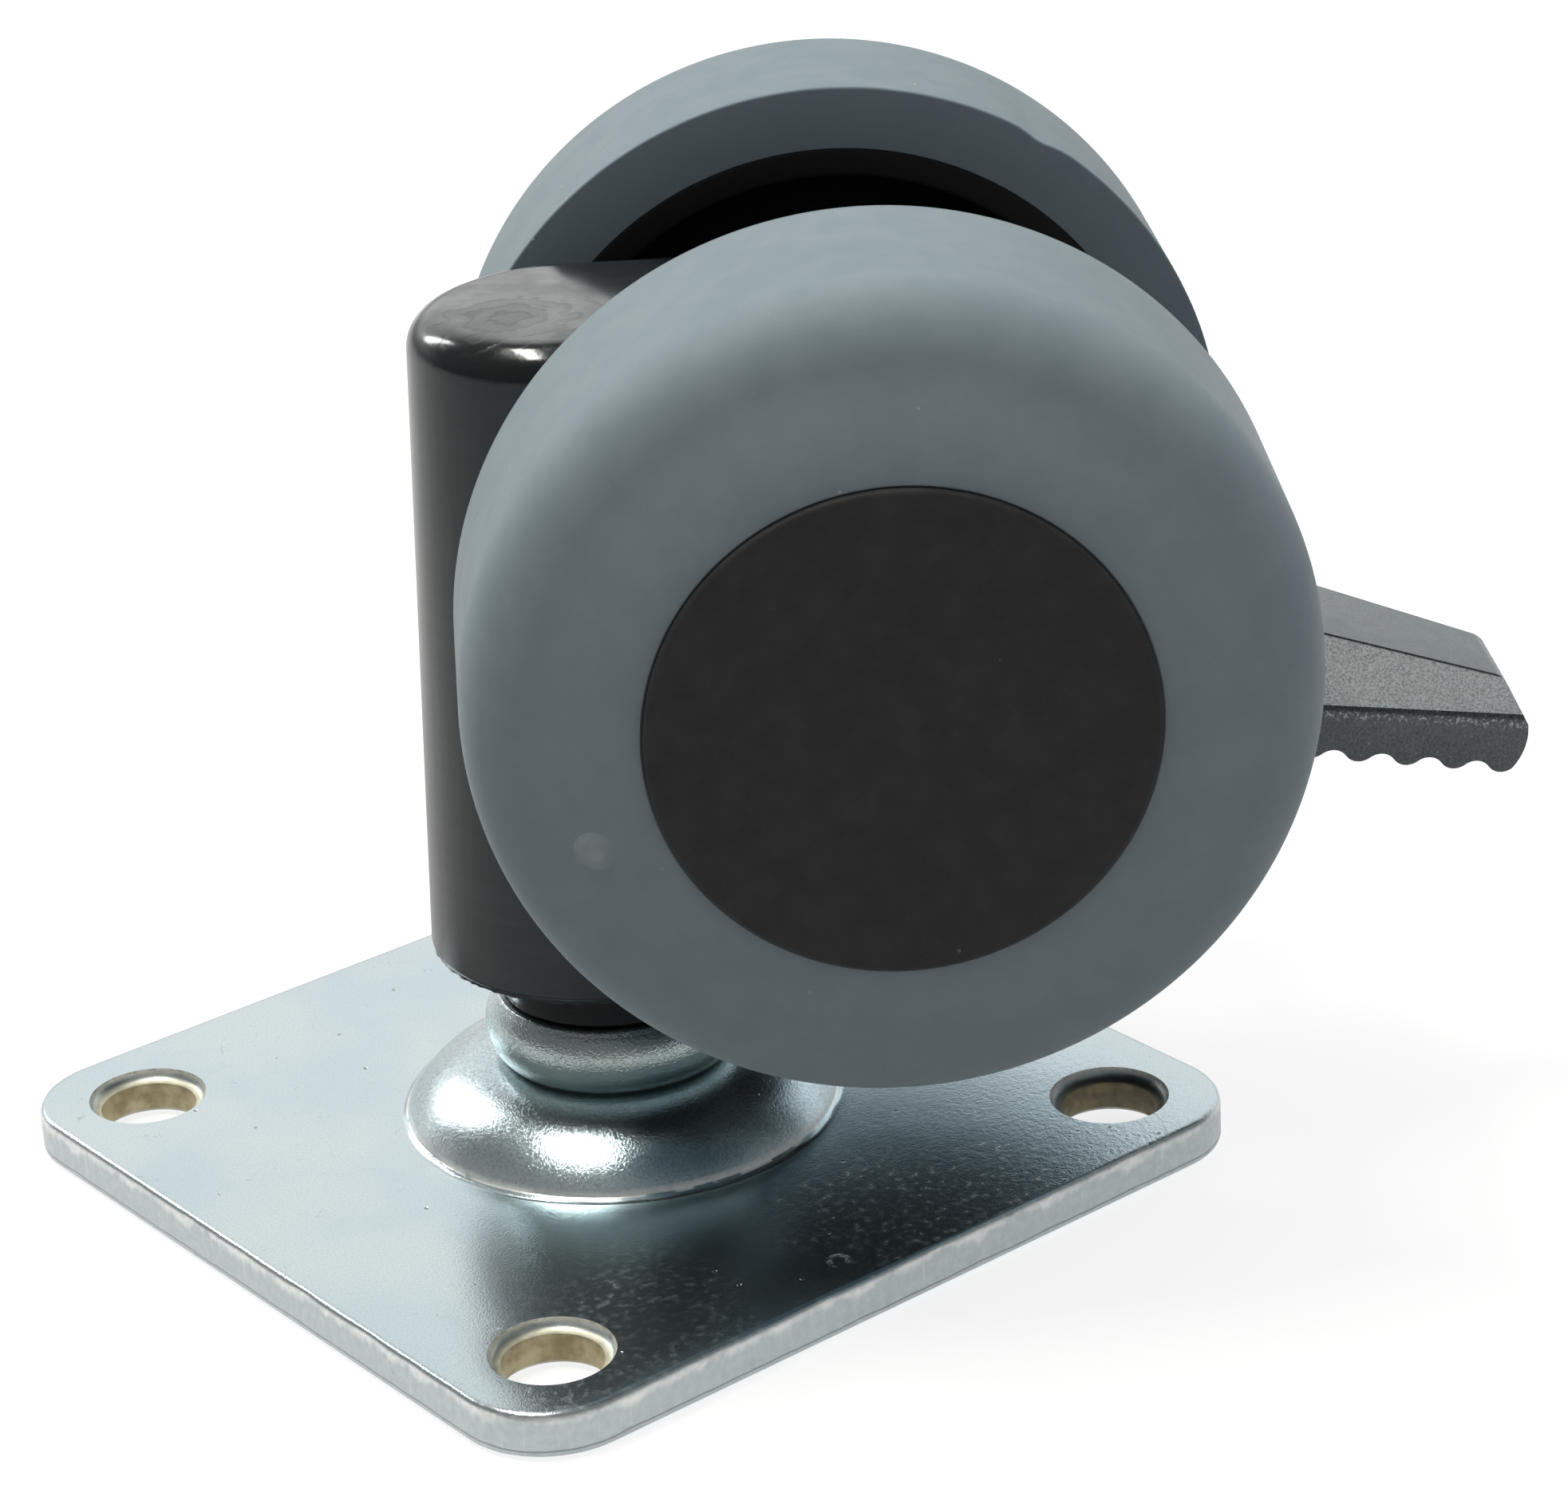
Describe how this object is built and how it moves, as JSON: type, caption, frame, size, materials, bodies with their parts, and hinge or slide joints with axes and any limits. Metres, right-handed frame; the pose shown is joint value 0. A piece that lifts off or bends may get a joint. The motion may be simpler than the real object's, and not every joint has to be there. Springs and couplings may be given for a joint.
{
  "type": "furniture castor",
  "caption": "Twin-wheel swivel furniture castor with a square bolt-on top plate, soft grey treads and a pedal brake, modelled plate down.",
  "frame": {"origin": "middle of the top plate's mounting face, on the swivel axis", "axes": "+Z along the swivel axis from the mounting face to the wheels, X and Y along the plate's edges; in use the castor is turned over, so +Z points to the floor"},
  "size_m": [0.0817, 0.0785, 0.0674],
  "materials": {
    "zinc_plate": "zinc plated, satin",
    "zinc_turned": "zinc plated, satin",
    "spring_steel": "oiled spring steel",
    "bright_steel": "bright drawn steel",
    "bush_black": "glossy",
    "housing_black": "satin to glossy",
    "core_charcoal": "matt",
    "tread_grey": "matt",
    "lever_black": "fine grained"
  },
  "bodies": {
    "mount": {"top_plate": "zinc_plate", "swivel_stem": "zinc_turned", "stem_ring": "spring_steel"},
    "head": {"housing": "housing_black", "swivel_bush": "bush_black", "axle": "bright_steel", "axle_ring_near": "spring_steel", "axle_ring_far": "spring_steel", "lever_pin": "bright_steel", "lever_spring": "spring_steel"},
    "wheel_near": {"wheel_core_near": "core_charcoal", "tread_near": "tread_grey"},
    "wheel_far": {"wheel_core_far": "core_charcoal", "tread_far": "tread_grey"},
    "lever": {"brake_lever": "lever_black"}
  },
  "joints": [
    {"name": "swivel", "type": "hinge", "parent": "mount", "child": "head", "pos_m": [0, 0, 0], "axis": [0, 0, 1], "continuous": true},
    {"name": "near_wheel_spin", "type": "hinge", "parent": "head", "child": "wheel_near", "pos_m": [0.01426, -0.01014, 0.04185], "axis": [-0.5793, -0.8151, 0], "continuous": true},
    {"name": "far_wheel_spin", "type": "hinge", "parent": "head", "child": "wheel_far", "pos_m": [0.01426, -0.01014, 0.04185], "axis": [-0.5793, -0.8151, 0], "continuous": true},
    {"name": "brake_pedal", "type": "hinge", "parent": "head", "child": "lever", "pos_m": [0.02445, -0.01738, 0.04005], "axis": [-0.5793, -0.8151, 0], "range_deg": [0, 12]}
  ]
}
